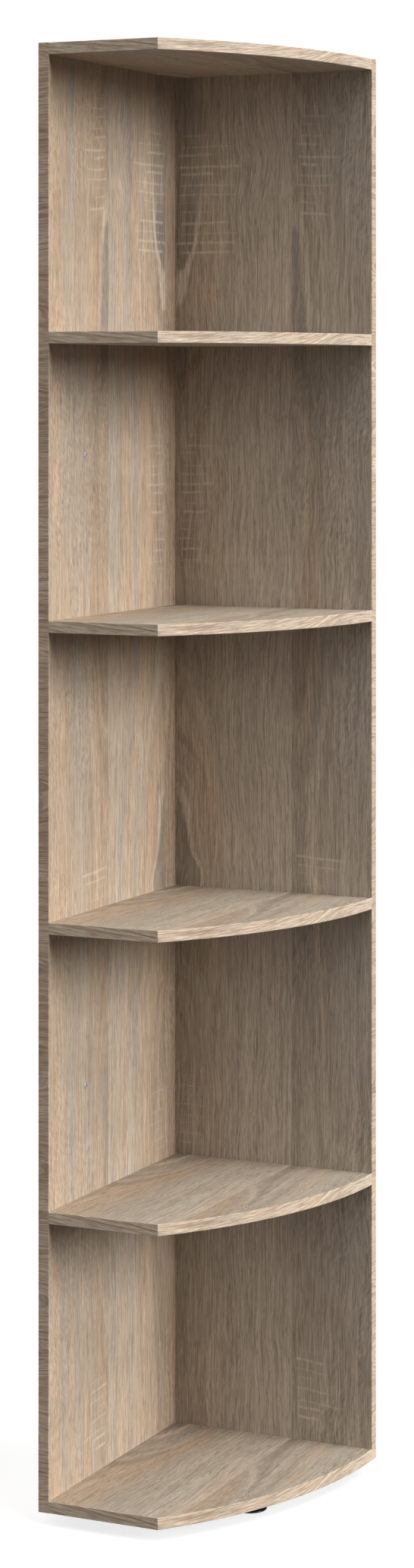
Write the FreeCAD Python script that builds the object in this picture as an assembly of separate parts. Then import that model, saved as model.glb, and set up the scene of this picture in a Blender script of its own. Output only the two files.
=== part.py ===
import FreeCAD, Part
import math
import os

from FreeCAD import Placement, Rotation, Vector

# Shelf end unit: a tall open unit of laminated chipboard that closes the end of a row of cabinets.
# A side panel and a narrower back panel meet in a corner, and six boards with a curved front fill it.
# Confirmat screws and dowels join the panels and boards, edge bands cover the edges that show, two
# connector sleeves tie the unit to the cabinet beside it, and it stands on four moulded feet.

# Carcass, in millimetres
BOARD = 16.0
HEIGHT = 2000.0
WIDTH = 327.0
DEPTH = 416.0
CURVE_RADIUS = 620.0
SHELF_PITCH = 393.4

# Edge bands: thick on the fronts, thin on the top edges of the panels
FRONT_BAND = 1.0
TOP_BAND = 0.5
FRONT_ROUNDING = 0.6
TOP_ROUNDING = 0.3

# Confirmat screw, 7 x 50, with a hexagon socket
SCREW_LENGTH = 50.0
SCREW_HEAD_RADIUS = 5.0
SCREW_HEAD_RIM = 0.8
SCREW_SHANK_RADIUS = 3.5
SCREW_SHANK_END = 15.0
SCREW_CORE_RADIUS = 2.5
SCREW_TIP = 3.0
SCREW_SOCKET = 4.0
SCREW_SOCKET_DEPTH = 3.0
SCREW_SINK = 0.2
SCREW_PILOT_SPARE = 2.0

# Beech dowel, 8 x 30
DOWEL_RADIUS = 4.0
DOWEL_LENGTH = 30.0
DOWEL_IN_PANEL = 11.0
DOWEL_CHAMFER = 1.0
DOWEL_SPARE = 1.0

# Places of the screws and dowels along the joints
SCREW_FROM_EDGE = 50.0
DOWEL_FROM_SCREW = 32.0
CORNER_SCREWS = 6
CORNER_SCREW_FROM_END = 100.0

# Connector sleeve with an M4 thread, pushed in from the inside
CONNECTOR_FROM_FRONT = 110.0
CONNECTOR_SPACING = 875.6
SLEEVE_RADIUS = 2.5
SLEEVE_HEAD_RADIUS = 4.75
SLEEVE_HEAD_RIM = 0.7
SLEEVE_HEAD_HEIGHT = 1.6
SLEEVE_HEAD_TOP_RADIUS = 3.4
SLEEVE_THREAD_RADIUS = 1.65
SLEEVE_THREAD_DEPTH = 13.0
SLEEVE_SLOT = 0.9
SLEEVE_SLOT_LENGTH = 4.4
SLEEVE_SLOT_DEPTH = 1.1

# Moulded foot: a base with a chamfered rim under a tapered body, hollow and ribbed on the board's side
FOOT_HEIGHT = 17.0
FOOT_RADIUS = 23.5
FOOT_RIM = 3.2
FOOT_SHOULDER = 4.2
FOOT_NECK_RADIUS = 20.0
FOOT_TOP_RADIUS = 18.0
FOOT_BOTTOM_CHAMFER = 0.8
FOOT_RIM_CHAMFER = 1.2
FOOT_FLOOR = 4.0
FOOT_WALL_RADIUS = 15.5
FOOT_BOSS_RADIUS = 8.0
FOOT_RIBS = 6
FOOT_RIB = 1.6
FOOT_COUNTERBORE_RADIUS = 5.5
FOOT_COUNTERBORE_DEPTH = 11.0
FOOT_HOLE_RADIUS = 2.2
FOOT_INSET = 50.0
FOOT_RIGHT_INSET = 58.0
FOOT_FRONT_INSET = 85.0
FOOT_CURVE_DEPTH = 217.0

# Pan head screw, 4 x 18, of the feet
FOOT_SCREW_LENGTH = 18.0
FOOT_SCREW_HEAD_RADIUS = 3.8
FOOT_SCREW_HEAD_HEIGHT = 2.4
FOOT_SCREW_SHANK_RADIUS = 2.0
FOOT_SCREW_CORE_RADIUS = 1.4
FOOT_SCREW_TIP = 2.0
FOOT_SCREW_SLOT = 0.9
FOOT_SCREW_SLOT_LENGTH = 4.4
FOOT_SCREW_SLOT_DEPTH = 1.2

# Worked out from the sizes above. The carcass is drawn about the inner corner of the two panels,
# at the underside of the bottom board, with X along the back panel and the front towards -Y.
INNER_WIDTH = WIDTH - BOARD
INNER_DEPTH = DEPTH - BOARD
CURVE_CENTRE_X = INNER_WIDTH - CURVE_RADIUS
LEVELS = {
    "bottom_board": BOARD / 2,
    "shelf_1": BOARD / 2 + SHELF_PITCH,
    "shelf_2": BOARD / 2 + 2 * SHELF_PITCH,
    "shelf_3": HEIGHT - BOARD / 2 - 2 * SHELF_PITCH,
    "shelf_4": HEIGHT - BOARD / 2 - SHELF_PITCH,
    "top_board": HEIGHT - BOARD / 2,
}
X, Y, Z = Vector(1, 0, 0), Vector(0, 1, 0), Vector(0, 0, 1)

# The part's own frame has its origin on the floor, under the middle of the unit's outline
TO_ROW_FRAME = Vector(BOARD - WIDTH / 2, DEPTH / 2 - BOARD, FOOT_HEIGHT)


def curve_x(radius, y):
    """X at depth y on a circle of that radius about the curve's centre."""
    return CURVE_CENTRE_X + math.sqrt(radius**2 - y**2)


def block(low, high):
    """A block between two opposite corners."""
    size = high - low
    return Part.makeBox(size.x, size.y, size.z, low)


def turned(outline):
    """A solid turned about Z from its (radius, height) corners."""
    corners = [Vector(radius, 0, height) for radius, height in outline]
    section = Part.Face(Part.makePolygon(corners + corners[:1]))
    return section.revolve(Vector(), Z, 360)


def aimed(shape, point, direction):
    """A copy of a shape drawn along +Z from the origin, set at a point and turned to a direction."""
    copy = shape.copy()
    copy.Placement = Placement(point, Rotation(Z, direction))
    return copy


def cross_slot(width, length, depth):
    """The cross recess of a screw head, cut down from z = 0."""
    arm = block(Vector(-length / 2, -width / 2, 0), Vector(length / 2, width / 2, depth))
    other = arm.copy()
    other.rotate(Vector(), Z, 90)
    return arm.fuse(other)


def confirmat_screw():
    """The screw with the top of its head at z = 0 and its shank along +Z, drawn without its thread."""
    cone_end = SCREW_HEAD_RIM + SCREW_HEAD_RADIUS - SCREW_SHANK_RADIUS
    screw = turned([
        (0, 0),
        (SCREW_HEAD_RADIUS, 0),
        (SCREW_HEAD_RADIUS, SCREW_HEAD_RIM),
        (SCREW_SHANK_RADIUS, cone_end),
        (SCREW_SHANK_RADIUS, SCREW_SHANK_END),
        (SCREW_CORE_RADIUS, SCREW_SHANK_END),
        (SCREW_CORE_RADIUS, SCREW_LENGTH - SCREW_TIP),
        (0, SCREW_LENGTH),
    ])
    first_corner = Vector(SCREW_SOCKET / math.sqrt(3), 0, 0)
    corners = [Rotation(Z, 60 * i).multVec(first_corner) for i in range(6)]
    socket = Part.Face(Part.makePolygon(corners + corners[:1])).extrude(Z * SCREW_SOCKET_DEPTH)
    return screw.cut(socket)


def screw_drill():
    """What the screw takes out of the panel it passes through, from the panel's outer face at z = 0."""
    rim_end = SCREW_SINK + SCREW_HEAD_RIM
    cone_end = rim_end + SCREW_HEAD_RADIUS - SCREW_SHANK_RADIUS
    return turned([
        (0, 0),
        (SCREW_HEAD_RADIUS, 0),
        (SCREW_HEAD_RADIUS, rim_end),
        (SCREW_SHANK_RADIUS, cone_end),
        (SCREW_SHANK_RADIUS, BOARD),
        (0, BOARD),
    ])


def screw_pilot():
    """The screw's hole in the edge of the piece that it holds, from that edge at z = 0."""
    depth = SCREW_LENGTH + SCREW_SINK - BOARD + SCREW_PILOT_SPARE
    return Part.makeCylinder(SCREW_CORE_RADIUS, depth)


def dowel():
    """A dowel with chamfered ends; its seam with the panel's inner face is at z = 0."""
    start = -DOWEL_IN_PANEL
    end = start + DOWEL_LENGTH
    inner = DOWEL_RADIUS - DOWEL_CHAMFER
    return turned([
        (0, start),
        (inner, start),
        (DOWEL_RADIUS, start + DOWEL_CHAMFER),
        (DOWEL_RADIUS, end - DOWEL_CHAMFER),
        (inner, end),
        (0, end),
    ])


def dowel_drill():
    """The two holes that a dowel fills, on both sides of the seam at z = 0."""
    start = -DOWEL_IN_PANEL - DOWEL_SPARE
    return Part.makeCylinder(DOWEL_RADIUS, DOWEL_LENGTH + 2 * DOWEL_SPARE, Vector(0, 0, start))


def connector_sleeve():
    """The sleeve with its head's seat at z = 0, its head towards -Z and its shank through the panel."""
    sleeve = turned([
        (0, -SLEEVE_HEAD_HEIGHT),
        (SLEEVE_HEAD_TOP_RADIUS, -SLEEVE_HEAD_HEIGHT),
        (SLEEVE_HEAD_RADIUS, -SLEEVE_HEAD_RIM),
        (SLEEVE_HEAD_RADIUS, 0),
        (SLEEVE_RADIUS, 0),
        (SLEEVE_RADIUS, BOARD),
        (0, BOARD),
    ])
    slot = cross_slot(SLEEVE_SLOT, SLEEVE_SLOT_LENGTH, SLEEVE_SLOT_DEPTH)
    slot.translate(-Z * SLEEVE_HEAD_HEIGHT)
    thread = Part.makeCylinder(
        SLEEVE_THREAD_RADIUS, SLEEVE_THREAD_DEPTH, Vector(0, 0, BOARD - SLEEVE_THREAD_DEPTH)
    )
    return sleeve.cut(slot).cut(thread)


def foot():
    """A moulded foot standing on z = 0, with a hollow and ribs under the board that it is screwed to."""
    body = turned([
        (0, 0),
        (FOOT_RADIUS - FOOT_BOTTOM_CHAMFER, 0),
        (FOOT_RADIUS, FOOT_BOTTOM_CHAMFER),
        (FOOT_RADIUS, FOOT_RIM - FOOT_RIM_CHAMFER),
        (FOOT_RADIUS - FOOT_RIM_CHAMFER, FOOT_RIM),
        (FOOT_NECK_RADIUS, FOOT_SHOULDER),
        (FOOT_TOP_RADIUS, FOOT_HEIGHT),
        (0, FOOT_HEIGHT),
    ])
    floor = Vector(0, 0, FOOT_FLOOR)
    depth = FOOT_HEIGHT - FOOT_FLOOR
    hollow = Part.makeCylinder(FOOT_WALL_RADIUS, depth, floor)
    hollow = hollow.cut(Part.makeCylinder(FOOT_BOSS_RADIUS, depth, floor))
    for i in range(FOOT_RIBS):
        rib = block(
            Vector(FOOT_BOSS_RADIUS / 2, -FOOT_RIB / 2, FOOT_FLOOR),
            Vector(FOOT_WALL_RADIUS + FOOT_RIB, FOOT_RIB / 2, FOOT_HEIGHT),
        )
        rib.rotate(Vector(), Z, i * 360 / FOOT_RIBS)
        hollow = hollow.cut(rib)
    counterbore = Part.makeCylinder(FOOT_COUNTERBORE_RADIUS, FOOT_COUNTERBORE_DEPTH)
    hole = Part.makeCylinder(FOOT_HOLE_RADIUS, FOOT_HEIGHT)
    return body.cut(hollow).cut(counterbore).cut(hole)


def foot_screw():
    """The foot's screw with its head's seat at z = 0, its head towards -Z, drawn without its thread."""
    head = Part.makeCylinder(FOOT_SCREW_HEAD_RADIUS, FOOT_SCREW_HEAD_HEIGHT, -Z * FOOT_SCREW_HEAD_HEIGHT)
    in_foot = FOOT_HEIGHT - FOOT_COUNTERBORE_DEPTH
    shank = turned([
        (0, 0),
        (FOOT_SCREW_SHANK_RADIUS, 0),
        (FOOT_SCREW_SHANK_RADIUS, in_foot),
        (FOOT_SCREW_CORE_RADIUS, in_foot),
        (FOOT_SCREW_CORE_RADIUS, FOOT_SCREW_LENGTH - FOOT_SCREW_TIP),
        (0, FOOT_SCREW_LENGTH),
    ])
    slot = cross_slot(FOOT_SCREW_SLOT, FOOT_SCREW_SLOT_LENGTH, FOOT_SCREW_SLOT_DEPTH)
    slot.translate(-Z * FOOT_SCREW_HEAD_HEIGHT)
    return head.fuse(shank).removeSplitter().cut(slot)


def side_board_places(step):
    """Points on the side panel's inner face where the boards' ends are joined, step from each screw."""
    ends = (-SCREW_FROM_EDGE - step, -INNER_DEPTH + SCREW_FROM_EDGE + step)
    return [Vector(0, y, level) for level in LEVELS.values() for y in ends]


def back_board_places(step):
    """Points on the back panel's inner face where the boards' rear edges are joined."""
    ends = (SCREW_FROM_EDGE + step, INNER_WIDTH - SCREW_FROM_EDGE - step)
    return [Vector(x, 0, level) for level in LEVELS.values() for x in ends]


def corner_screw_places():
    """Points on the side panel's inner face along the edge of the back panel."""
    pitch = (HEIGHT - 2 * CORNER_SCREW_FROM_END) / (CORNER_SCREWS - 1)
    return [Vector(0, BOARD / 2, CORNER_SCREW_FROM_END + i * pitch) for i in range(CORNER_SCREWS)]


def corner_dowel_places():
    """Points half way between the corner's screws."""
    screws = corner_screw_places()
    return [(a + b) / 2 for a, b in zip(screws, screws[1:])]


def connector_places():
    """Points on the side panel's inner face where the connector sleeves sit."""
    y = -INNER_DEPTH + CONNECTOR_FROM_FRONT
    return [Vector(0, y, HEIGHT / 2 + side * CONNECTOR_SPACING / 2) for side in (-1, 1)]


def foot_places():
    """The feet's centres on the underside of the bottom board."""
    curve_foot_x = curve_x(CURVE_RADIUS - FOOT_INSET, -FOOT_CURVE_DEPTH)
    return {
        "foot_rear_left": Vector(FOOT_INSET, -FOOT_INSET, 0),
        "foot_rear_right": Vector(INNER_WIDTH - FOOT_RIGHT_INSET, -FOOT_INSET, 0),
        "foot_front_left": Vector(FOOT_INSET, -INNER_DEPTH + FOOT_FRONT_INSET, 0),
        "foot_curve": Vector(curve_foot_x, -FOOT_CURVE_DEPTH, 0),
    }


def without(shape, cutters):
    """A shape with all the cutters taken out of it in one cut."""
    return shape.cut(Part.makeCompound(cutters))


def side_panel():
    """The tall side panel, which covers the edge of the back panel."""
    panel = block(
        Vector(-BOARD, -INNER_DEPTH + FRONT_BAND, 0),
        Vector(0, BOARD, HEIGHT - TOP_BAND),
    )
    drills = []
    for place in side_board_places(0) + corner_screw_places():
        drills.append(aimed(screw_drill(), place - X * BOARD, X))
    for place in side_board_places(DOWEL_FROM_SCREW) + corner_dowel_places():
        drills.append(aimed(dowel_drill(), place, X))
    for place in connector_places():
        drills.append(aimed(Part.makeCylinder(SLEEVE_RADIUS, BOARD), place, -X))
    return without(panel, drills)


def back_panel():
    """The back panel, whose left edge stands against the side panel."""
    panel = block(
        Vector(0, 0, 0),
        Vector(INNER_WIDTH - FRONT_BAND, BOARD, HEIGHT - TOP_BAND),
    )
    drills = []
    for place in back_board_places(0):
        drills.append(aimed(screw_drill(), place + Y * BOARD, -Y))
    for place in back_board_places(DOWEL_FROM_SCREW):
        drills.append(aimed(dowel_drill(), place, -Y))
    for place in corner_screw_places():
        drills.append(aimed(screw_pilot(), place, X))
    for place in corner_dowel_places():
        drills.append(aimed(dowel_drill(), place, X))
    return without(panel, drills)


def board(name):
    """One of the six boards without its bands: two straight sides in the corner, a short straight
    front beside the side panel, and an arc from there to the end of the back panel."""
    front = -INNER_DEPTH + FRONT_BAND
    radius = CURVE_RADIUS - FRONT_BAND
    inner_corner = Vector(0, 0, 0)
    front_left = Vector(0, front, 0)
    front_corner = Vector(curve_x(radius, front), front, 0)
    half_depth = Vector(curve_x(radius, front / 2), front / 2, 0)
    rear_right = Vector(CURVE_CENTRE_X + radius, 0, 0)
    outline = Part.Wire([
        Part.LineSegment(inner_corner, front_left).toShape(),
        Part.LineSegment(front_left, front_corner).toShape(),
        Part.Arc(front_corner, half_depth, rear_right).toShape(),
        Part.LineSegment(rear_right, inner_corner).toShape(),
    ])
    level = LEVELS[name]
    plate = Part.Face(outline).extrude(Z * BOARD)
    plate.translate(Z * (level - BOARD / 2))
    joints = [
        (side_board_places(0), screw_pilot(), X),
        (side_board_places(DOWEL_FROM_SCREW), dowel_drill(), X),
        (back_board_places(0), screw_pilot(), -Y),
        (back_board_places(DOWEL_FROM_SCREW), dowel_drill(), -Y),
    ]
    drills = []
    for places, drill, direction in joints:
        drills += [aimed(drill, place, direction) for place in places if place.z == level]
    if name == "bottom_board":
        depth = FOOT_SCREW_LENGTH - FOOT_HEIGHT + FOOT_COUNTERBORE_DEPTH
        pilot = Part.makeCylinder(FOOT_SCREW_CORE_RADIUS, depth)
        drills += [aimed(pilot, place, Z) for place in foot_places().values()]
    return without(plate, drills)


def band_section(corner, outward, across, thickness, rounding):
    """Section of an edge band. Its back stands on the board's edge from corner across the board's
    thickness, and the long edges of its face are rounded."""

    def point(out, over):
        return corner + outward * out + across * over

    lean = rounding * (1 - math.sqrt(0.5))
    flat = thickness - rounding
    width = BOARD
    edges = [
        Part.LineSegment(point(0, 0), point(flat, 0)),
        Part.Arc(point(flat, 0), point(thickness - lean, lean), point(thickness, rounding)),
        Part.LineSegment(point(thickness, rounding), point(thickness, width - rounding)),
        Part.Arc(
            point(thickness, width - rounding),
            point(thickness - lean, width - lean),
            point(flat, width),
        ),
        Part.LineSegment(point(flat, width), point(0, width)),
        Part.LineSegment(point(0, width), point(0, 0)),
    ]
    return Part.Face(Part.Wire([edge.toShape() for edge in edges]))


def curve_band(name):
    """The band round a board's arc. It laps over the end of the straight band at the front corner."""
    underside = LEVELS[name] - BOARD / 2
    corner = Vector(INNER_WIDTH - FRONT_BAND, 0, underside)
    section = band_section(corner, X, Z, FRONT_BAND, FRONT_ROUNDING)
    inner_turn = math.asin(INNER_DEPTH / (CURVE_RADIUS - FRONT_BAND))
    ring = section.revolve(Vector(CURVE_CENTRE_X, 0, 0), -Z, math.degrees(inner_turn))
    return ring.common(block(
        Vector(0, -INNER_DEPTH, underside),
        Vector(INNER_WIDTH, 0, underside + BOARD),
    ))


def front_band(name):
    """The straight band on a board's front, cut off where the curved band laps over it."""
    underside = LEVELS[name] - BOARD / 2
    corner = Vector(0, -INNER_DEPTH + FRONT_BAND, underside)
    section = band_section(corner, -Y, Z, FRONT_BAND, FRONT_ROUNDING)
    strip = section.extrude(X * INNER_WIDTH)
    inside_curve = Part.makeCylinder(
        CURVE_RADIUS - FRONT_BAND, BOARD, Vector(CURVE_CENTRE_X, 0, underside)
    )
    return strip.common(inside_curve)


def panel_bands():
    """The bands on the front edge, the right end and the top edges of the two panels."""
    front_edge = Vector(-BOARD, -INNER_DEPTH + FRONT_BAND, 0)
    right_edge = Vector(INNER_WIDTH - FRONT_BAND, 0, 0)
    side_top = Vector(-BOARD, -INNER_DEPTH + FRONT_BAND, HEIGHT - TOP_BAND)
    back_top = Vector(0, 0, HEIGHT - TOP_BAND)
    side_top_length = DEPTH - FRONT_BAND
    back_top_length = INNER_WIDTH - FRONT_BAND
    front_section = band_section(front_edge, -Y, X, FRONT_BAND, FRONT_ROUNDING)
    end_section = band_section(right_edge, X, Y, FRONT_BAND, FRONT_ROUNDING)
    side_top_section = band_section(side_top, Z, X, TOP_BAND, TOP_ROUNDING)
    back_top_section = band_section(back_top, Z, Y, TOP_BAND, TOP_ROUNDING)
    return {
        "side_panel_front_band": front_section.extrude(Z * HEIGHT),
        "back_panel_end_band": end_section.extrude(Z * HEIGHT),
        "side_panel_top_band": side_top_section.extrude(Y * side_top_length),
        "back_panel_top_band": back_top_section.extrude(X * back_top_length),
    }


def fasteners():
    """The screws, dowels and sleeves, each group of like ones as separate solids in one piece."""
    screw, pin, sleeve = confirmat_screw(), dowel(), connector_sleeve()
    into_side, into_back = -X * (BOARD - SCREW_SINK), Y * (BOARD - SCREW_SINK)
    return {
        "side_board_screws": [aimed(screw, p + into_side, X) for p in side_board_places(0)],
        "side_back_screws": [aimed(screw, p + into_side, X) for p in corner_screw_places()],
        "back_board_screws": [aimed(screw, p + into_back, -Y) for p in back_board_places(0)],
        "side_board_dowels": [aimed(pin, p, X) for p in side_board_places(DOWEL_FROM_SCREW)],
        "side_back_dowels": [aimed(pin, p, X) for p in corner_dowel_places()],
        "back_board_dowels": [aimed(pin, p, -Y) for p in back_board_places(DOWEL_FROM_SCREW)],
        "connector_sleeves": [aimed(sleeve, p, -X) for p in connector_places()],
    }


def feet():
    """The four feet under the bottom board, and their screws."""
    one_foot, one_screw = foot(), foot_screw()
    seat = Z * (FOOT_COUNTERBORE_DEPTH - FOOT_HEIGHT)
    pieces = {name: aimed(one_foot, place - Z * FOOT_HEIGHT, Z) for name, place in foot_places().items()}
    screws = [aimed(one_screw, place + seat, Z) for place in foot_places().values()]
    pieces["foot_screws"] = Part.makeCompound(screws)
    return pieces


def all_pieces():
    """Every piece of the unit by name, in the carcass's coordinates."""
    pieces = {"side_panel": side_panel(), "back_panel": back_panel()}
    for name in LEVELS:
        pieces[name] = board(name)
        pieces[name + "_front_band"] = front_band(name)
        pieces[name + "_curve_band"] = curve_band(name)
    pieces.update(panel_bands())
    for name, group in fasteners().items():
        pieces[name] = Part.makeCompound(group)
    pieces.update(feet())
    return pieces


def main():
    os.makedirs("parts", exist_ok=True)
    for name, shape in all_pieces().items():
        shape.translate(TO_ROW_FRAME)
        shape.exportStep(f"parts/{name}.step")
        solids = len(shape.Solids)
        print(f"{name}: {solids} solid(s), {shape.Volume / 1000:.2f} cm3, valid {shape.isValid()}")


main()
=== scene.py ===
import math

import bpy
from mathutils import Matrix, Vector


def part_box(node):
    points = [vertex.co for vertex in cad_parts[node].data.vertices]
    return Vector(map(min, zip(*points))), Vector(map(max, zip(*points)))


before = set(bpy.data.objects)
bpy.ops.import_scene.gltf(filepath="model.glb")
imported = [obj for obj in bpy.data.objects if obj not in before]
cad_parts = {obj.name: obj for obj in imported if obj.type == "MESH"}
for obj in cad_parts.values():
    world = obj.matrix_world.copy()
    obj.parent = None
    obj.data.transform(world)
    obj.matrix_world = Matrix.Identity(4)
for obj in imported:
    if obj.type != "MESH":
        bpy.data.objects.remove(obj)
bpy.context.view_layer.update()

# Looks of the shelf end unit: laminated boards with a pale oak decor, edge bands with a print of their own,
# raw chipboard on the edges that no band covers, and the metal, beech and plastic fittings.
# Sizes are in metres, apart from those of the printed decors and chips, which are in millimetres.
X, Y, Z = range(3)
MM_PER_M = 1000.0

# Camera, at the photograph's place: level, with the horizon in the upper quarter of the picture, and turned
# to the left by an angle in radians
PHOTO_HEIGHT_PX = 2067
PHOTO_MIDDLE_ROW_PX = 1033.5
HORIZON_ROW_PX = 515.8
FOCAL_LENGTH_PX = 4546.5
SENSOR_MM = 36.0
CAMERA_PLACE = (2.0259, -4.3684, 1.5426)
CAMERA_TURN = 0.4355

# Stage: the floor as it is seen, and as the light that it throws back sees it
WHITE = (1.0, 1.0, 1.0, 1.0)
FLOOR_RADIUS = 9.0
FLOOR_SIDES = 96
FLOOR_COLOR = (0.32, 0.32, 0.32, 1.0)
FLOOR_GLOW = 0.78
FLOOR_BOUNCE_COLOR = (0.03, 0.03, 0.03, 1.0)

# Lamps: name, azimuth from the right side towards the front, elevation and width of the source in degrees,
# and strength. The first four light what the photograph shows, the last two the outer faces.
LAMPS = (
    ("key", -5.0, 17.0, 28.0, 0.92),
    ("top", 0.0, 60.0, 46.0, 0.66),
    ("front", 95.0, 50.0, 36.0, 0.12),
    ("low", 95.0, 10.0, 26.0, 0.155),
    ("fill", -165.0, 25.0, 60.0, 0.42),
    ("back", -105.0, 25.0, 60.0, 0.5),
)

# The board decor shows planks of this width side by side, the first one starting at this place across the
# grain, each with noise this far from its neighbour's. Their figure has this length and is mirrored at its
# ends. The next pair of planks shows it this much further along.
PLANK_MM = 184.5
PLANK_START_MM = -7.0
PLANK_LAYER_STEP = 7.3
FIGURE_LENGTH_MM = 2000.0
PAIR_SHIFT_MM = 730.0

# The pith is at this place across a plank, and up to this deep under the face. The growth rings become
# clearer from the first to the second of these distances from it.
PITH_MM = 186.0
PITH_DEPTH_MM = 100.0
NEAR_PITH_MM = (95.0, 35.0)

# The dark heart's radius and half the width of its soft edge, and how far outside it the pale rim lies,
# with the rim's outer and inner half widths
HEART_MM = 50.0
HEART_EDGE_MM = 1.5
RIM_MM = 2.5
RIM_HALF_MM = (2.8, 1.2)

# Along a plank, as shares of the figure's length: the depth of the pith under the face, also as a share.
# The heart shows where it is shallower than HEART_MM, and the grain closes in arches round it.
EVEN_PLANK_DEPTH = (
    (0.0, 0.8), (0.12, 0.62), (0.24, 0.46), (0.34, 0.56), (0.45, 0.62), (0.56, 0.4), (0.64, 0.28),
    (0.7, 0.2), (0.735, 0.23), (0.775, 0.41), (0.807, 0.43), (0.85, 0.47), (0.882, 0.51), (0.92, 0.62),
    (1.0, 0.8),
)
ODD_PLANK_DEPTH = (
    (0.0, 0.56), (0.1, 0.44), (0.2, 0.31), (0.29, 0.33), (0.33, 0.45), (0.36, 0.6), (0.385, 0.56),
    (0.402, 0.3), (0.42, 0.39), (0.435, 0.46), (0.465, 0.51), (0.52, 0.75), (0.6, 0.92), (0.7, 0.92),
    (0.79, 0.66), (0.832, 0.53), (0.845, 0.512), (0.862, 0.46), (0.8825, 0.37), (0.92, 0.3), (1.0, 0.18),
)

# Along a plank: how clearly the heart stands out
HEART_CLARITY = (
    (0.0, 0.2), (0.2, 0.2), (0.37, 0.25), (0.395, 0.85), (0.46, 0.85), (0.5, 0.15), (0.75, 0.2),
    (0.79, 0.85), (0.86, 1.0), (0.89, 0.9), (0.94, 0.6), (1.0, 0.6),
)

# The figure's top is warmer, from and to as shares of its length
WARM_TOP = (0.75, 0.88)
WARM_TOP_GAIN = 0.22

# Across a plank: from grey to warm, and from dark to pale
EVEN_PLANK_WARMTH = ((0.0, 0.85), (0.2, 0.65), (0.42, 0.3), (0.62, 0.4), (0.8, 0.65), (1.0, 0.6))
ODD_PLANK_WARMTH = ((0.0, 0.3), (0.25, 0.25), (0.5, 0.35), (0.7, 0.8), (0.9, 0.8), (1.0, 0.7))
EVEN_PLANK_PALENESS = ((0.0, 0.5), (0.3, 0.5), (0.6, 0.5), (0.8, 0.34), (1.0, 0.25))
ODD_PLANK_PALENESS = ((0.0, 0.7), (0.3, 0.62), (0.6, 0.5), (0.85, 0.5), (1.0, 0.45))

# A small knot on the odd planks: place across and along, half its size, and how far it pushes the grain
# and the rings
KNOT_MM = (46.0, 1856.0)
KNOT_SIZE_MM = (34.0, 46.0)
KNOT_LEAN_MM = 16.0
KNOT_RING_MM = 14.0

# A wavy, scaly figure on the even planks: from and to along the grain, the lengths over which it begins and
# ends, and how much it adds to the waves there
FIGURED_MM = (1240.0, 1600.0)
FIGURED_FADE_MM = (90.0, 60.0)
FIGURED_WAVE_GAIN = 1.5

# Streaks of the board decor along its grain: width and length in mm, seed, detail, roughness
OAK_STREAKS = {
    "lean": (90.0, 220.0, 1.0, 1.0, 0.5),
    "wave": (30.0, 75.0, 15.0, 1.0, 0.5),
    "fine wave": (8.0, 30.0, 2.0, 2.0, 0.5),
    "ring sway": (60.0, 210.0, 4.0, 1.0, 0.5),
    "ring ripple": (13.0, 22.0, 3.0, 2.0, 0.5),
    "rings": (5.5, 1600.0, 7.0, 1.5, 0.5),
    "warm rings": (24.0, 700.0, 6.0, 1.0, 0.5),
    "pale rings": (13.0, 420.0, 17.0, 1.0, 0.5),
    "stripe": (5.0, 320.0, 5.0, 3.0, 0.65),
    "fibre": (1.6, 75.0, 8.0, 3.0, 0.7),
    "hair": (1.0, 20.0, 9.0, 2.0, 0.65),
    "scaly places": (70.0, 260.0, 14.0, 1.0, 0.5),
    "pores": (1.0, 20.0, 10.0, 2.0, 0.55),
    "dark lines": (1.1, 90.0, 16.0, 1.5, 0.5),
    "flecks": (1.1, 45.0, 11.0, 2.0, 0.55),
    "saw sway": (40.0, 60.0, 12.0, 2.0, 0.5),
}

# Scales of the scaly figure: width and length, seed, and how much they slant
SCALE_WIDTH_MM = 2.4
SCALE_LENGTH_MM = 11.0
SCALE_SEED = 13.0
SCALE_SLANT = 0.3

# Groups of pale saw marks: from, to across the grain, from, to along it, strength
SAW_MARKS_MM = (
    (246, 366, 1720, 1906, 1.0),
    (96, 176, 1766, 1944, 0.9),
    (294, 366, 1250, 1468, 0.9),
    (84, 177, 808, 862, 0.8),
    (296, 366, 412, 530, 0.7),
    (84, 177, 36, 156, 0.8),
)

# Saw marks: their pitch, their rise across an even plank, and the share of the boldest that the faintest has
SAW_PITCH_MM = 14.0
SAW_SLOPE = 0.07
SAW_FAINTEST = 0.35

# A mark as shares of the pitch: its least place and the spread of places, half the width of its core, and
# half its whole width and the spread of that
SAW_PLACE = 0.3
SAW_PLACE_SPREAD = 0.4
SAW_CORE = 0.03
SAW_HALF = 0.1
SAW_HALF_SPREAD = 0.14

# A mark's ends: the share of its group's width in which the left one lies, the width in which the right one
# lies, and the lengths over which a mark begins and ends and a group fades out
SAW_START_SHARE = 0.55
SAW_END_MM = 12.0
SAW_FADE_LEFT_MM = 16.0
SAW_FADE_RIGHT_MM = 6.0
SAW_FADE_ALONG_MM = 8.0

# The board decor's colours
GREY_OAK = (0.425, 0.361, 0.29, 1.0)
WARM_OAK = (0.5, 0.367, 0.254, 1.0)
DARK_RING = (0.3, 0.225, 0.16, 1.0)
PALE_RING = (0.62, 0.51, 0.39, 1.0)
HEARTWOOD = (0.27, 0.235, 0.2, 1.0)
HEART_RIM = (0.74, 0.66, 0.55, 1.0)
PORE = (0.2, 0.142, 0.092, 1.0)
PALE_FIBRE = (0.68, 0.58, 0.46, 1.0)
SAW_PALE = (0.7, 0.61, 0.5, 1.0)

# Where the decor lies on the pieces: how far behind the side panel's front edge its zero is, how far the
# corner between the panels is past the second seam, and where the boards' grain starts at the back panel
SIDE_PANEL_INSET_MM = 4.0
CORNER_PAST_SEAM_MM = 2.0
BOARD_DECOR_START_MM = 862.0

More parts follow.
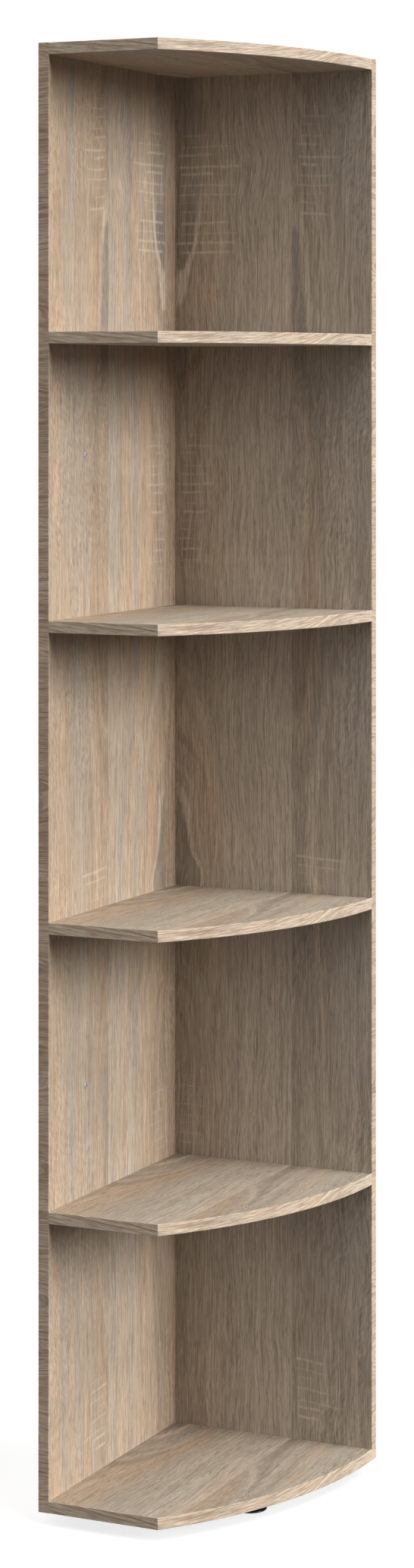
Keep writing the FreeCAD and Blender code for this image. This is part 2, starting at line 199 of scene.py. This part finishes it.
# Streaks of the bands' print along its lines: width and length in mm, seed, detail, roughness
BAND_STREAKS = {
    "blocks": (110.0, 600.0, 2.0, 1.0, 0.5),
    "stripe": (3.2, 120.0, 3.0, 2.0, 0.5),
    "rings": (2.6, 85.0, 4.0, 1.5, 0.5),
    "line breaks": (6.0, 40.0, 5.0, 2.0, 0.5),
    "fibre": (1.0, 30.0, 6.0, 3.0, 0.65),
    "pores": (0.9, 18.0, 7.0, 2.0, 0.5),
    "tone": (38.0, 500.0, 8.0, 1.0, 0.5),
}

# The waves in the bands' lines: width, length and height
BAND_WAVE_WIDTH_MM = 14.0
BAND_WAVE_LENGTH_MM = 34.0
BAND_WAVE_MM = 1.3

# The bands' colours, and the places across of the lines that every board shows
BAND_PALE = (0.64, 0.525, 0.4, 1.0)
BAND_BROWN = (0.51, 0.375, 0.265, 1.0)
BAND_RING = (0.34, 0.21, 0.13, 1.0)
BAND_LINES_MM = (43.7, 28.0, 11.0, -9.0, -24.0, -38.0)

# On the boards the lines run along the band. On the straight fronts their length is counted from this far to
# the left of the part's zero, and they sink. On the curved ones it is counted from the back panel's end, and
# they rise.
BOARD_BAND_START_MM = 900.0
FRONT_BAND_FALL = 0.12
CURVE_BAND_LENGTH_MM = 435.0
CURVE_BAND_RISE_MM = 48.0
CURVE_BAND_RISE = (
    (0.0, 0.0), (0.09, 0.01), (0.31, 0.17), (0.46, 0.33), (0.66, 0.62), (0.81, 0.96), (1.0, 1.0),
)

# On the panels the lines run across the band. They slant up to this much, which changes over this length,
# and their places are counted from this far before the part's zero.
BAND_SLANT = 0.45
BAND_SLANT_LENGTH_MM = 90.0
PANEL_BAND_START_MM = 1000.0

# Prints: the layer, which tells one piece of decor from another, and the warmth
SIDE_PANEL_PRINT = (0.0, 0.08)
# The back panel's low warmth is partly painted shade colour: the panel lies in shade, and its print is made
# greyer than the side panel's to stand for the colour of that light.
BACK_PANEL_PRINT_AND_SHADE_TINT = (0.4, -0.75)
BOARD_PRINT = (0.9, -0.35)
FRONT_BAND_PRINT = (20.0, 0.0)
CURVE_BAND_PRINT = (30.0, 0.0)

# The panels' bands: node, material, axis along the band, axis across it, start of the lines in mm, and print
PANEL_BANDS = (
    ("side_panel_front_band", "side_front_decor", Z, X, 300.0, (40.0, 0.3)),
    ("back_panel_end_band", "back_end_decor", Z, Y, 700.0, (50.0, 0.52)),
    ("side_panel_top_band", "side_top_decor", Y, X, 300.0, (60.0, 0.2)),
    ("back_panel_top_band", "back_top_decor", X, Y, 400.0, (70.0, 0.2)),
)

# Raw chipboard: the chips' length and thickness, the dust's grains to a chip, the chips' colours by share,
# and the colour between them
CHIP_MM = 3.2
CHIP_THICKNESS_MM = 0.9
DUST_PER_CHIP = 3.0
CHIP_COLORS = (
    (0.0, (0.26, 0.165, 0.085, 1.0)),
    (0.3, (0.42, 0.29, 0.165, 1.0)),
    (0.7, (0.53, 0.385, 0.235, 1.0)),
    (1.0, (0.62, 0.47, 0.3, 1.0)),
)
CHIP_GAP = (0.12, 0.075, 0.04, 1.0)

# The fittings' colours and the metals' roughness
ZINC = (0.62, 0.63, 0.66)
ZINC_ROUGHNESS = 0.32
NICKEL = (0.34, 0.335, 0.36)
NICKEL_ROUGHNESS = 0.7
SCRATCH_ROUGHNESS = 0.25
BEECH_DARK = (0.5, 0.31, 0.15, 1.0)
BEECH_PALE = (0.68, 0.47, 0.27, 1.0)
BLACK_DEEP = (0.006, 0.006, 0.007, 1.0)
BLACK_PALE = (0.014, 0.014, 0.015, 1.0)

# Depths of the materials' relief
DECOR_RELIEF = 0.00012
BAND_RELIEF = 0.0001
METAL_RELIEF = 0.00002
BEECH_RELIEF = 0.00005
PLASTIC_RELIEF = 0.00003

# The feet's rounded edges: radius, segments, the least angle that is rounded, and the distance within which
# a foot's separate faces are joined first
FOOT_ROUNDING = 0.0005
ROUNDING_SEGMENTS = 3
SHARP_DEGREES = 18.0
JOINING_DISTANCE = 0.00001

# Nodes by what they are
BOARDS = ("bottom_board", "shelf_1", "shelf_2", "shelf_3", "shelf_4", "top_board")
FEET = ("foot_rear_left", "foot_rear_right", "foot_front_left", "foot_curve")
SCREWS = ("side_board_screws", "side_back_screws", "back_board_screws", "foot_screws")
DOWELS = ("side_board_dowels", "side_back_dowels", "back_board_dowels")

# Inputs and outputs of the node groups
DECOR_INPUTS = dict.fromkeys(("Across", "Along", "Layer", "Warmth"), "NodeSocketFloat")
GROUP_OUTPUTS = {"Color": "NodeSocketColor", "Relief": "NodeSocketFloat"}


class Number:
    """A number in a node tree. Arithmetic on it adds math nodes."""

    def __init__(self, graph, socket):
        self.graph = graph
        self.socket = socket

    def __add__(self, other):
        return self.graph.math("ADD", self, other)

    def __sub__(self, other):
        return self.graph.math("SUBTRACT", self, other)

    def __rsub__(self, other):
        return self.graph.math("SUBTRACT", other, self)

    def __mul__(self, other):
        return self.graph.math("MULTIPLY", self, other)

    def __truediv__(self, other):
        return self.graph.math("DIVIDE", self, other)

    def __abs__(self):
        return self.graph.math("ABSOLUTE", self)

    __radd__ = __add__
    __rmul__ = __mul__


class Graph:
    """Adds nodes to a node tree. An input is a number, a tuple, a socket or a Number."""

    def __init__(self, tree):
        self.tree = tree

    def feed(self, socket, value):
        if isinstance(value, Number):
            value = value.socket
        if isinstance(value, bpy.types.NodeSocket):
            self.tree.links.new(value, socket)
        else:
            socket.default_value = value

    def add(self, kind, inputs=None, **settings):
        node = self.tree.nodes.new(kind)
        for name, value in settings.items():
            setattr(node, name, value)
        for name, value in (inputs or {}).items():
            self.feed(node.inputs[name], value)
        return node

    def add_group(self, group, inputs):
        """A node group's colour, and its relief as a Number."""
        node = self.tree.nodes.new("ShaderNodeGroup")
        node.node_tree = group
        for name, value in inputs.items():
            self.feed(node.inputs[name], value)
        return node.outputs["Color"], Number(self, node.outputs["Relief"])

    def math(self, operation, *values):
        node = self.add("ShaderNodeMath", dict(enumerate(values)), operation=operation)
        return Number(self, node.outputs[0])

    def vector(self, x, y, z):
        return self.add("ShaderNodeCombineXYZ", {"X": x, "Y": y, "Z": z}).outputs[0]

    def split(self, vector):
        node = self.add("ShaderNodeSeparateXYZ", {0: vector})
        return [Number(self, output) for output in node.outputs]

    def noise(self, x, y, z, detail=2.0, roughness=0.5):
        """Noise of a point, from 0 to 1 with 0.5 as its mean."""
        inputs = {"Vector": self.vector(x, y, z), "Scale": 1.0, "Detail": detail, "Roughness": roughness}
        return Number(self, self.add("ShaderNodeTexNoise", inputs).outputs[0])

    def step(self, value, low, high):
        """Rises smoothly from 0 at low to 1 at high."""
        inputs = {"Value": value, "From Min": low, "From Max": high}
        node = self.add("ShaderNodeMapRange", inputs, interpolation_type="SMOOTHSTEP")
        return Number(self, node.outputs[0])

    def blend(self, factor, first, second):
        """A number between two others."""
        return Number(self, self.add("ShaderNodeMix", {0: factor, 2: first, 3: second}).outputs[0])

    def mix(self, factor, first, second):
        """A colour between two others."""
        return self.add("ShaderNodeMix", {0: factor, 6: first, 7: second}, data_type="RGBA").outputs[2]

    def brightened(self, color, amount):
        """A colour times one plus an amount."""
        factor = amount + 1.0
        scale = self.vector(factor, factor, factor)
        return self.add("ShaderNodeVectorMath", {0: color, 1: scale}, operation="MULTIPLY").outputs[0]

    def curve(self, position, points):
        """A number drawn through listed points along a position from 0 to 1."""
        node = self.add("ShaderNodeFloatCurve", {"Value": position})
        line = node.mapping.curves[0]
        line.points[0].location = points[0]
        line.points[1].location = points[-1]
        for point in points[1:-1]:
            line.points.new(*point)
        node.mapping.update()
        return Number(self, node.outputs[0])


def swing(value, amount):
    """Turns a noise into a change of plus or minus that amount about 0."""
    return value * (2.0 * amount) - amount


def new_group(name, inputs):
    """An empty node group, its graph, its inputs as Numbers and the sockets of its output node."""
    group = bpy.data.node_groups.new(name, "ShaderNodeTree")
    for socket, kind in inputs.items():
        group.interface.new_socket(socket, in_out="INPUT", socket_type=kind)
    for socket, kind in GROUP_OUTPUTS.items():
        group.interface.new_socket(socket, in_out="OUTPUT", socket_type=kind)
    graph = Graph(group)
    given = graph.add("NodeGroupInput").outputs
    return group, graph, [Number(graph, given[name]) for name in inputs], graph.add("NodeGroupOutput").inputs


def saw_marks(graph, across, along, swayed, fibre):
    """Pale cross lines left by a saw, in groups, and the groups themselves."""
    line = graph.math("FLOOR", swayed / SAW_PITCH_MM)
    chance = graph.add("ShaderNodeTexWhiteNoise", {"W": line}, noise_dimensions="1D").outputs
    start, reach, weight = graph.split(chance["Color"])

    # A line lies somewhere in the middle of its pitch, and is thicker the more it weighs
    place = graph.math("FRACT", swayed / SAW_PITCH_MM)
    off_line = abs(place - SAW_PLACE - Number(graph, chance["Value"]) * SAW_PLACE_SPREAD)
    profile = 1.0 - graph.step(off_line, SAW_CORE, SAW_HALF + weight * SAW_HALF_SPREAD)

    groups = None
    for low, high, bottom, top, strength in SAW_MARKS_MM:
        left = start * (SAW_START_SHARE * (high - low)) + low
        right = high - reach * SAW_END_MM
        part = graph.step(across, left, left + SAW_FADE_LEFT_MM)
        part = part * graph.step(across, right, right - SAW_FADE_RIGHT_MM)
        part = part * graph.step(along, bottom, bottom + SAW_FADE_ALONG_MM)
        part = part * graph.step(along, top, top - SAW_FADE_ALONG_MM) * strength
        groups = part if groups is None else graph.math("MAXIMUM", groups, part)
    boldness = weight * (1.0 - SAW_FAINTEST) + SAW_FAINTEST
    return groups * profile * boldness * graph.step(fibre, 0.32, 0.58), groups


def oak_decor():
    """The printed oak decor: colour and relief at a point given across and along the grain, in mm."""
    group, graph, (across, along, layer, own_warmth), result = new_group("oak_decor", DECOR_INPUTS)

    # Which plank the point is on, and where on it
    plank = graph.math("FLOOR", (across - PLANK_START_MM) / PLANK_MM)
    on_plank = across - PLANK_START_MM - plank * PLANK_MM
    odd = graph.math("MODULO", abs(plank), 2.0)
    figure = along + graph.math("FLOOR", plank * 0.5) * PAIR_SHIFT_MM
    share = graph.math("PINGPONG", figure, FIGURE_LENGTH_MM) / FIGURE_LENGTH_MM
    depth = graph.blend(odd, graph.curve(share, EVEN_PLANK_DEPTH), graph.curve(share, ODD_PLANK_DEPTH))
    depth = depth * PITH_DEPTH_MM
    clarity = graph.curve(share, HEART_CLARITY)
    own = layer + plank * PLANK_LAYER_STEP

    def streaks(name, at):
        """Noise drawn out along the grain, read at a place across it."""
        width, length, seed, detail, roughness = OAK_STREAKS[name]
        return graph.noise(at / width, figure / length, own + seed, detail, roughness)

    # The grain leans a little here and there, waves in its figured part, and flows round the knot
    from_knot = (on_plank - KNOT_MM[0]) / KNOT_SIZE_MM[0]
    above_knot = (figure - KNOT_MM[1]) / KNOT_SIZE_MM[1]
    knot = graph.math("EXPONENT", (from_knot * from_knot + above_knot * above_knot) * -1.0) * odd
    lean = swing(streaks("lean", on_plank), 12.0) + knot * KNOT_LEAN_MM
    start, end = FIGURED_MM
    fade_in, fade_out = FIGURED_FADE_MM
    figured = graph.step(figure, start, start + fade_in) * graph.step(figure, end, end - fade_out)
    figured = figured * (1.0 - odd)
    wave = swing(streaks("wave", on_plank), 3.0) * (figured * FIGURED_WAVE_GAIN + 1.0)
    wave = wave + swing(streaks("fine wave", on_plank), 0.6)
    grain = on_plank + lean + wave

    # Distance from the pith, which the growth rings follow
    from_pith = on_plank - PITH_MM
    ripple = swing(streaks("ring ripple", on_plank), 1.8)
    ring = graph.math("SQRT", from_pith * from_pith + depth * depth)
    ring = ring + swing(streaks("ring sway", on_plank), 4.0) + ripple + knot * KNOT_RING_MM
    near = graph.step(abs(from_pith), *NEAR_PITH_MM)

    # Tone: greyer or warmer, paler or darker across each plank, with broad and narrow stripes
    stripe = streaks("stripe", grain)
    place = on_plank / PLANK_MM
    warmth = graph.blend(odd, graph.curve(place, EVEN_PLANK_WARMTH), graph.curve(place, ODD_PLANK_WARMTH))
    warmth = warmth + swing(streaks("warm rings", ring), 1.1) + own_warmth
    warmth = warmth + graph.step(share, *WARM_TOP) * WARM_TOP_GAIN
    color = graph.mix(graph.step(warmth, -0.1, 1.1), GREY_OAK, WARM_OAK)
    paleness = graph.blend(
        odd,
        graph.curve(place, EVEN_PLANK_PALENESS),
        graph.curve(place, ODD_PLANK_PALENESS),
    )
    color = graph.brightened(color, swing(paleness, 0.24) + swing(streaks("pale rings", ring), 0.16))

    # Growth rings, clearer near the pith, and the dark heart with its pale rim
    rings = streaks("rings", ring)
    color = graph.mix(graph.step(rings, 0.47, 0.33) * (near * 0.34 + 0.08), color, DARK_RING)
    color = graph.mix(graph.step(rings, 0.57, 0.68) * (near * 0.3 + 0.06), color, PALE_RING)
    heart = graph.step(ring, HEART_MM + HEART_EDGE_MM, HEART_MM - HEART_EDGE_MM)
    color = graph.mix(heart * clarity * 0.85, color, HEARTWOOD)
    rim = graph.step(abs(ring - (HEART_MM + RIM_MM)), *RIM_HALF_MM)
    color = graph.mix(rim * clarity * clarity * (odd * 0.45 + 0.2), color, HEART_RIM)

    # Stripes, fibres and hairlines, and a slanting scaly figure in places
    fibre = streaks("fibre", grain)
    hair = streaks("hair", grain)
    over_scales = (grain + figure * SCALE_SLANT) / SCALE_WIDTH_MM
    along_scales = (figure - grain * SCALE_SLANT) / SCALE_LENGTH_MM
    scales = graph.noise(over_scales, along_scales, own + SCALE_SEED, 1.0)
    scaly = streaks("scaly places", on_plank) - place * 0.12 + figured * 0.12
    scaly = graph.step(scaly, 0.42, 0.52) * (1.0 - odd * 0.7)
    change = swing(stripe, 0.34) + swing(fibre, 0.6) + swing(hair, 0.45) + swing(scales, 0.45) * scaly
    color = graph.brightened(color, change)

    # Dark pores and lines, and pale flecks
    pores = graph.step(streaks("pores", grain), 0.57, 0.64)
    lines = graph.step(streaks("dark lines", grain), 0.59, 0.67)
    color = graph.mix(graph.math("MAXIMUM", pores * 0.5, lines * 0.6), color, PORE)
    flecks = graph.step(streaks("flecks", grain), 0.58, 0.67)
    color = graph.mix(flecks * 0.45, color, PALE_FIBRE)

    # Saw marks, with some pale fibres between them
    sway = swing(streaks("saw sway", across), 3.0) - on_plank * (SAW_SLOPE - odd * SAW_SLOPE)
    marks, field = saw_marks(graph, across, along, along + sway, hair)
    pale = graph.math("MAXIMUM", marks, field * graph.step(fibre, 0.5, 0.68) * 0.5)
    color = graph.mix(pale * 0.75, color, SAW_PALE)

    graph.feed(result["Color"], color)
    graph.feed(result["Relief"], fibre * 0.3 + 0.7 - pores * 0.7)
    return group


def band_decor():
    """The edge bands' print, at a point given across and along its lines, in mm."""
    group, graph, (across, along, layer, own_warmth), result = new_group("band_decor", DECOR_INPUTS)
    wave = graph.noise(across / BAND_WAVE_WIDTH_MM, along / BAND_WAVE_LENGTH_MM, layer + 1.0)
    flow = across + swing(wave, BAND_WAVE_MM)

    def streaks(name):
        width, length, seed, detail, roughness = BAND_STREAKS[name]
        return graph.noise(flow / width, along / length, layer + seed, detail, roughness)

    # Blocks and stripes of brown and pale, rings, and a few long lines that every board shows
    block = graph.step(streaks("blocks"), 0.47, 0.53)
    stripe = streaks("stripe")
    color = graph.mix(block * 0.5 + stripe * 0.9 - 0.25 + own_warmth, BAND_PALE, BAND_BROWN)
    rings = graph.step(streaks("rings"), 0.5, 0.38) * 0.7
    whole = graph.step(streaks("line breaks"), 0.3, 0.6)
    for place in BAND_LINES_MM:
        line = graph.step(abs(flow - place), 1.3, 0.3) * whole
        rings = graph.math("MAXIMUM", rings, line * 0.75)
    color = graph.mix(rings, color, BAND_RING)

    # Fibres and pores
    fibre = streaks("fibre")
    pores = graph.step(streaks("pores"), 0.57, 0.65)
    tone = swing(streaks("tone"), 0.35)
    color = graph.brightened(color, tone + swing(stripe, 0.4) + swing(fibre, 1.1))
    color = graph.mix(pores * 0.6, color, BAND_RING)
    graph.feed(result["Color"], color)
    graph.feed(result["Relief"], fibre * 0.3 + 0.7 - pores * 0.7)
    return group


def chipboard():
    """Raw chipboard, at a point measured in chips: chips with gaps between them, and fine dust on them."""
    group, graph, (place,), result = new_group("chipboard", {"Vector": "NodeSocketVector"})
    chips = graph.add("ShaderNodeTexVoronoi", {"Vector": place, "Scale": 1.0, "Randomness": 1.0})
    x, y, z = graph.split(place)
    dust = graph.noise(x * DUST_PER_CHIP, y * DUST_PER_CHIP, z * DUST_PER_CHIP, 4.0, 0.7)
    tone = graph.split(chips.outputs["Color"])[0]
    ramp = graph.add("ShaderNodeValToRGB", {0: tone})
    stops = ramp.color_ramp.elements
    stops[0].color = CHIP_COLORS[0][1]
    stops[1].color = CHIP_COLORS[-1][1]
    for share, color in CHIP_COLORS[1:-1]:
        stops.new(share).color = color
    gap = graph.step(chips.outputs["Distance"], 0.55, 0.8)
    color = graph.mix(gap * 0.55, ramp.outputs[0], CHIP_GAP)
    graph.feed(result["Color"], graph.brightened(color, swing(dust, 0.35)))
    graph.feed(result["Relief"], dust - gap)
    return group


class Surface(Graph):
    """One material with its shader, and the object's own coordinates in millimetres."""

    def __init__(self, name):
        self.material = bpy.data.materials.new(name)
        self.material.use_nodes = True
        super().__init__(self.material.node_tree)
        self.shader = self.tree.nodes["Principled BSDF"]
        self.coordinates = self.add("ShaderNodeTexCoord").outputs
        to_mm = {0: self.coordinates["Object"], 1: (MM_PER_M, MM_PER_M, MM_PER_M)}
        self.point = self.add("ShaderNodeVectorMath", to_mm, operation="MULTIPLY").outputs[0]
        self.x, self.y, self.z = self.place = self.split(self.point)

    def set(self, **values):
        """Sets the shader's inputs: underscores in a name stand for spaces."""
        for name, value in values.items():
            self.feed(self.shader.inputs[name.replace("_", " ")], value)

    def bump(self, height, depth):
        """Relief from a height of 0 to 1 that stands for a real depth."""
        self.set(Normal=self.add("ShaderNodeBump", {"Height": height, "Distance": depth}).outputs[0])

    def facing(self, axis):
        """1 where the surface faces along that axis, either way."""
        return self.step(abs(self.split(self.coordinates["Normal"])[axis]), 0.6, 0.8)

    def decor(self, group, across, along, layer, warmth):
        """A printed decor's colour and relief, at two functions of the surface."""
        inputs = {"Across": across(self), "Along": along(self), "Layer": layer, "Warmth": warmth}
        return self.add_group(group, inputs)


def laminated(name, axis, across, along, layer, warmth):
    """Laminated chipboard: the decor on the two faces across an axis, raw chips on the edges and in holes."""
    surface = Surface(name)
    color, relief = surface.decor(OAK_DECOR, across, along, layer, warmth)
    chip_size = [CHIP_MM, CHIP_MM, CHIP_MM]
    chip_size[axis] = CHIP_THICKNESS_MM
    to_chips = {0: surface.point, 1: tuple(chip_size)}
    in_chips = surface.add("ShaderNodeVectorMath", to_chips, operation="DIVIDE").outputs[0]
    chip_color, chip_relief = surface.add_group(CHIPBOARD, {"Vector": in_chips})
    face = surface.facing(axis)
    surface.set(
        Base_Color=surface.mix(face, chip_color, color),
        Roughness=0.86 - face * 0.3,
        Specular_IOR_Level=0.3,
    )
    surface.bump(surface.blend(face, chip_relief, relief), DECOR_RELIEF)
    return surface.material


def banded(name, across, along, layer, warmth):
    """A plastic edge band, printed to go with the boards' decor."""
    surface = Surface(name)
    color, relief = surface.decor(BAND_DECOR, across, along, layer, warmth)
    surface.set(Base_Color=color, Specular_IOR_Level=0.35, Roughness=0.58 - relief * 0.12)
    surface.bump(relief, BAND_RELIEF)
    return surface.material


def offset(axis, sign, shift):
    """A coordinate function: sign times the point's coordinate plus a shift."""
    return lambda surface: surface.place[axis] * float(sign) + shift


def slanted(long_axis, short_axis):
    """A coordinate function along a panel's band, whose cross lines slant a little, more or less by place."""

    def along_band(surface):
        at = surface.place[long_axis]
        slant = swing(surface.noise(at / BAND_SLANT_LENGTH_MM, 0.0, 0.0, 1.0), BAND_SLANT)
        return at + surface.place[short_axis] * slant + PANEL_BAND_START_MM

    return along_band


def falling(middle, start):
    """A coordinate function on a straight band, across lines that sink towards its right end."""
    return lambda surface: surface.z - middle + (surface.x - start) * FRONT_BAND_FALL


def rising(middle):
    """A coordinate function on a curved band, across lines that rise towards its right end."""

    def across_lines(surface):
        from_left = CURVE_BAND_LENGTH_MM - round_the_curve(surface)
        rise = surface.curve(from_left / CURVE_BAND_LENGTH_MM, CURVE_BAND_RISE) * CURVE_BAND_RISE_MM
        return surface.z - middle - rise

    return across_lines


def round_the_curve(surface):
    """Length along the curved front from its end at the back panel, in mm."""
    low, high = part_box("bottom_board_curve_band")
    depth = high.y - low.y
    width = high.x - low.x
    radius = (depth**2 + width**2) / (2 * width)
    east = surface.x - MM_PER_M * (high.x - radius)
    south = MM_PER_M * high.y - surface.y
    return surface.math("ARCTAN2", south, east) * (MM_PER_M * radius)


def metal(name, color, roughness):
    """Plated steel with a faint cloudy tone and fine scratches."""
    surface = Surface(name)
    cloud = surface.noise(surface.x / 2.5, surface.y / 2.5, surface.z / 2.5)
    scratch = surface.noise(surface.x / 0.15, surface.y / 0.9, surface.z / 0.15)
    surface.set(
        Base_Color=surface.brightened(color, swing(cloud, 0.12)),
        Metallic=1.0,
        Roughness=scratch * SCRATCH_ROUGHNESS + (roughness - SCRATCH_ROUGHNESS / 2.0),
    )
    surface.bump(scratch, METAL_RELIEF)
    return surface.material


def beech():
    surface = Surface("beech")
    grain = surface.noise(surface.y / 0.8, surface.x / 9.0, surface.z / 0.8, 3.0, 0.6)
    color = surface.mix(surface.step(grain, 0.35, 0.65), BEECH_DARK, BEECH_PALE)
    surface.set(Base_Color=color, Roughness=0.65)
    surface.bump(grain, BEECH_RELIEF)
    return surface.material


def black_plastic():
    surface = Surface("black_plastic")
    cloud = surface.noise(surface.x / 3.0, surface.y / 3.0, surface.z / 3.0, 3.0)
    color = surface.mix(cloud, BLACK_DEEP, BLACK_PALE)
    surface.set(Base_Color=color, Roughness=cloud * 0.12 + 0.14, Specular_IOR_Level=0.4)
    surface.bump(cloud, PLASTIC_RELIEF)
    return surface.material


def dress(material, *nodes):
    """Gives CAD nodes their material."""
    for name in nodes:
        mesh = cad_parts[name].data
        mesh.materials.clear()
        mesh.materials.append(material)


def round_edges(name):
    """Joins a CAD node's faces and rounds its sharp edges, as moulding leaves them."""
    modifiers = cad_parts[name].modifiers
    modifiers.new("joining", "WELD").merge_threshold = JOINING_DISTANCE
    bevel = modifiers.new("rounding", "BEVEL")
    bevel.width = FOOT_ROUNDING
    bevel.segments = ROUNDING_SEGMENTS
    bevel.limit_method = "ANGLE"
    bevel.angle_limit = math.radians(SHARP_DEGREES)
    bevel.harden_normals = True


def dress_all():
    # Places in the decor's own coordinates: across, it starts near the side panel's front edge and goes on
    # round the corner to the back panel and the boards
    side_front = MM_PER_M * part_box("side_panel_front_band")[0].y
    back_left, back_face, bottom = (MM_PER_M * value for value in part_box("back_panel")[0])
    corner = PLANK_START_MM + 2.0 * PLANK_MM + CORNER_PAST_SEAM_MM
    across_side = offset(Y, 1, -side_front - SIDE_PANEL_INSET_MM)
    across_back = offset(X, -1, corner + back_left)
    along_panel = offset(Z, 1, -bottom)
    along_board = offset(Y, -1, BOARD_DECOR_START_MM + back_face)
    dress(laminated("oak_side_panel", X, across_side, along_panel, *SIDE_PANEL_PRINT), "side_panel")
    # The back panel's print is greyer than the side panel's, which is painted shade colour.
    dress(laminated("oak_back_panel", Y, across_back, along_panel, *BACK_PANEL_PRINT_AND_SHADE_TINT), "back_panel")

    along_front = offset(X, 1, BOARD_BAND_START_MM)
    for name in BOARDS:
        dress(laminated("oak_" + name, Z, across_back, along_board, *BOARD_PRINT), name)
        middle = MM_PER_M * (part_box(name)[0].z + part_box(name)[1].z) / 2.0
        front_start = MM_PER_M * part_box(name + "_front_band")[0].x
        front = banded(name + "_front_decor", falling(middle, front_start), along_front, *FRONT_BAND_PRINT)
        dress(front, name + "_front_band")
        curve = banded(name + "_curve_decor", rising(middle), round_the_curve, *CURVE_BAND_PRINT)
        dress(curve, name + "_curve_band")
    for name, material, long_axis, short_axis, start, own_print in PANEL_BANDS:
        lines = slanted(long_axis, short_axis)
        dress(banded(material, lines, offset(short_axis, 1, start), *own_print), name)

    dress(metal("zinc_steel", ZINC, ZINC_ROUGHNESS), *SCREWS)
    dress(metal("nickel_steel", NICKEL, NICKEL_ROUGHNESS), "connector_sleeves")
    dress(beech(), *DOWELS)
    dress(black_plastic(), *FEET)
    for name in FEET:
        round_edges(name)


def seen_directly(graph):
    """1 for rays from the camera and for what shines or shows through, 0 for light that bounces."""
    rays = graph.add("ShaderNodeLightPath").outputs
    seen = graph.math("MAXIMUM", rays["Is Camera Ray"], rays["Is Glossy Ray"])
    return graph.math("MAXIMUM", seen, rays["Is Transmission Ray"])


def make_floor():
    """A pale round floor, darker for the light that it throws back."""
    mesh = bpy.data.meshes.new("floor")
    turns = [2.0 * math.pi / FLOOR_SIDES * i for i in range(FLOOR_SIDES)]
    rim = [(FLOOR_RADIUS * math.cos(turn), FLOOR_RADIUS * math.sin(turn), 0.0) for turn in turns]
    mesh.from_pydata(rim, [], [tuple(range(FLOOR_SIDES))])
    material = bpy.data.materials.new("floor")
    material.use_nodes = True
    graph = Graph(material.node_tree)
    diffuse = graph.add("ShaderNodeBsdfDiffuse", {"Color": FLOOR_COLOR}).outputs[0]
    glow = graph.add("ShaderNodeEmission", {"Color": WHITE, "Strength": FLOOR_GLOW}).outputs[0]
    shown = graph.add("ShaderNodeAddShader", {0: diffuse, 1: glow}).outputs[0]
    bounce = graph.add("ShaderNodeBsdfDiffuse", {"Color": FLOOR_BOUNCE_COLOR}).outputs[0]
    both = graph.add("ShaderNodeMixShader", {0: seen_directly(graph), 1: bounce, 2: shown}).outputs[0]
    graph.feed(graph.tree.nodes["Material Output"].inputs["Surface"], both)
    mesh.materials.append(material)
    floor = bpy.data.objects.new("floor", mesh)
    bpy.context.scene.collection.objects.link(floor)


def make_world():
    """White where it is seen, and without light of its own."""
    world = bpy.data.worlds.new("studio")
    bpy.context.scene.world = world
    world.use_nodes = True
    graph = Graph(world.node_tree)
    background = graph.tree.nodes["Background"]
    graph.feed(background.inputs["Color"], WHITE)
    graph.feed(background.inputs["Strength"], seen_directly(graph))


def make_lamps():
    for name, azimuth, elevation, width, strength in LAMPS:
        data = bpy.data.lights.new(name, "SUN")
        data.energy = strength * math.pi
        data.angle = math.radians(width)
        lamp = bpy.data.objects.new(name, data)
        turn, rise = math.radians(azimuth), math.radians(elevation)
        towards = (math.cos(rise) * math.cos(turn), -math.cos(rise) * math.sin(turn), math.sin(rise))
        lamp.rotation_euler = Vector(towards).to_track_quat("Z", "Y").to_euler()
        bpy.context.scene.collection.objects.link(lamp)


def make_camera():
    data = bpy.data.cameras.new("camera")
    data.sensor_width = SENSOR_MM
    data.lens = SENSOR_MM * FOCAL_LENGTH_PX / PHOTO_HEIGHT_PX
    data.shift_y = (HORIZON_ROW_PX - PHOTO_MIDDLE_ROW_PX) / PHOTO_HEIGHT_PX
    camera = bpy.data.objects.new("camera", data)
    camera.location = CAMERA_PLACE
    camera.rotation_euler = (math.pi / 2.0, 0.0, CAMERA_TURN)
    bpy.context.scene.collection.objects.link(camera)
    bpy.context.scene.camera = camera


OAK_DECOR = oak_decor()
BAND_DECOR = band_decor()
CHIPBOARD = chipboard()
dress_all()
make_floor()
make_world()
make_lamps()
make_camera()
bpy.context.scene.view_settings.view_transform = "Standard"
